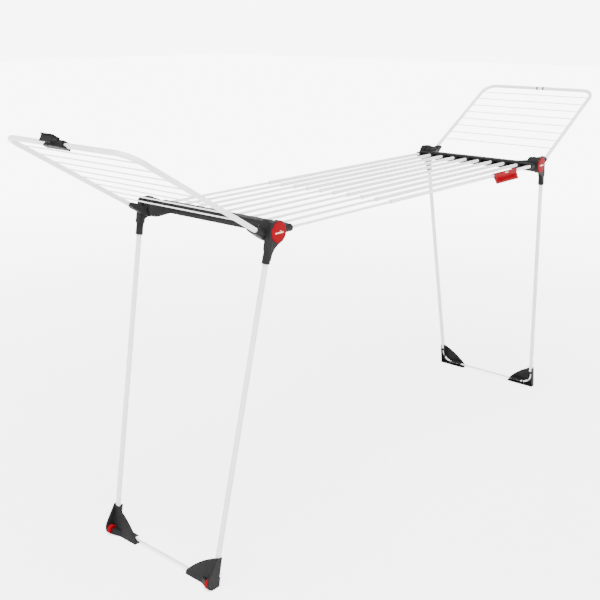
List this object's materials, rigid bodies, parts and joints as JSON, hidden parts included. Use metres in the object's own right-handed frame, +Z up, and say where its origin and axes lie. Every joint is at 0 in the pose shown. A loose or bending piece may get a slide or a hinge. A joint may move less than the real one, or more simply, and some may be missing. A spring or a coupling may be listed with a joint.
{
  "type": "drying rack",
  "caption": "Winged indoor drying rack that lengthens on telescoping rods, with leg frames that fold flat, floor wheels at one end and a bar latch.",
  "frame": {"origin": "centre of the rack's footprint box, on the floor", "axes": "+X along the rods from the wheeled end to the plain end, +Y across the rack from the front side with the tag to the back, +Z up"},
  "size_m": [2.6435, 0.55, 1.3187],
  "materials": {
    "white_enamel": "smooth white powder coat",
    "grey_plastic": "finely grained charcoal polypropylene",
    "black_plastic": "plain matte black plastic",
    "red_plastic": "semi-gloss red plastic",
    "zinc_steel": "bright zinc plated"
  },
  "bodies": {
    "right_section": {"beam_right": "grey_plastic", "rod_strip_right": "black_plastic", "beam_end_right_front": "grey_plastic", "beam_end_right_back": "grey_plastic", "pivot_pins_right": "zinc_steel", "screws_right": "zinc_steel", "outer_tubes": "white_enamel", "tube_collars": "white_enamel", "tag_clip": "red_plastic"},
    "left_section": {"beam_left": "grey_plastic", "rod_strip_left": "black_plastic", "beam_end_left_front": "grey_plastic", "beam_end_left_back": "grey_plastic", "pivot_pins_left": "zinc_steel", "screws_left": "zinc_steel", "inner_rods": "white_enamel", "rod_glides": "black_plastic"},
    "left_legs": {"leg_socket_left_front": "grey_plastic", "leg_socket_left_back": "grey_plastic", "cap_left_front": "red_plastic", "cap_left_back": "red_plastic", "leg_tube_left_front": "white_enamel", "leg_tube_left_back": "white_enamel", "foot_wire_left": "white_enamel", "foot_left_front": "grey_plastic", "foot_left_back": "grey_plastic", "wheel_axles": "zinc_steel"},
    "right_legs": {"leg_socket_right_front": "grey_plastic", "leg_socket_right_back": "grey_plastic", "cap_right_front": "red_plastic", "cap_right_back": "red_plastic", "leg_tube_right_front": "white_enamel", "leg_tube_right_back": "white_enamel", "foot_wire_right": "white_enamel", "foot_right_front": "grey_plastic", "foot_right_back": "grey_plastic"},
    "wheel_front": {"wheel_front": "red_plastic"},
    "wheel_back": {"wheel_back": "red_plastic"},
    "left_wing": {"wing_arm_left_front": "grey_plastic", "wing_arm_left_back": "grey_plastic", "wing_frame_left": "white_enamel", "wing_wires_left": "white_enamel", "bar_latch": "grey_plastic"},
    "right_wing": {"wing_arm_right_front": "grey_plastic", "wing_arm_right_back": "grey_plastic", "wing_frame_right": "white_enamel", "wing_wires_right": "white_enamel", "bar_catches": "grey_plastic"}
  },
  "joints": [
    {"name": "length", "type": "slide", "parent": "right_section", "child": "left_section", "axis": [-1, 0, 0], "range_m": [-0.462, 0.345]},
    {"name": "left_legs_fold", "type": "hinge", "parent": "left_section", "child": "left_legs", "pos_m": [-0.791, 0, 1.03], "axis": [0, -1, 0], "range_deg": [0, 100.6]},
    {"name": "right_legs_fold", "type": "hinge", "parent": "right_section", "child": "right_legs", "pos_m": [0.816, 0, 1.03], "axis": [0, 1, 0], "range_deg": [0, 95]},
    {"name": "left_wing_fold", "type": "hinge", "parent": "left_section", "child": "left_wing", "pos_m": [-0.791, 0, 1.03], "axis": [0, 1, 0], "range_deg": [0, 150]},
    {"name": "right_wing_fold", "type": "hinge", "parent": "right_section", "child": "right_wing", "pos_m": [0.816, 0, 1.03], "axis": [0, -1, 0], "range_deg": [0, 150]},
    {"name": "wheel_front_spin", "type": "hinge", "parent": "left_legs", "child": "wheel_front", "pos_m": [-1.02584, 0, 0.01704], "axis": [0, 1, 0], "continuous": true},
    {"name": "wheel_back_spin", "type": "hinge", "parent": "left_legs", "child": "wheel_back", "pos_m": [-1.02584, 0, 0.01704], "axis": [0, 1, 0], "continuous": true}
  ]
}
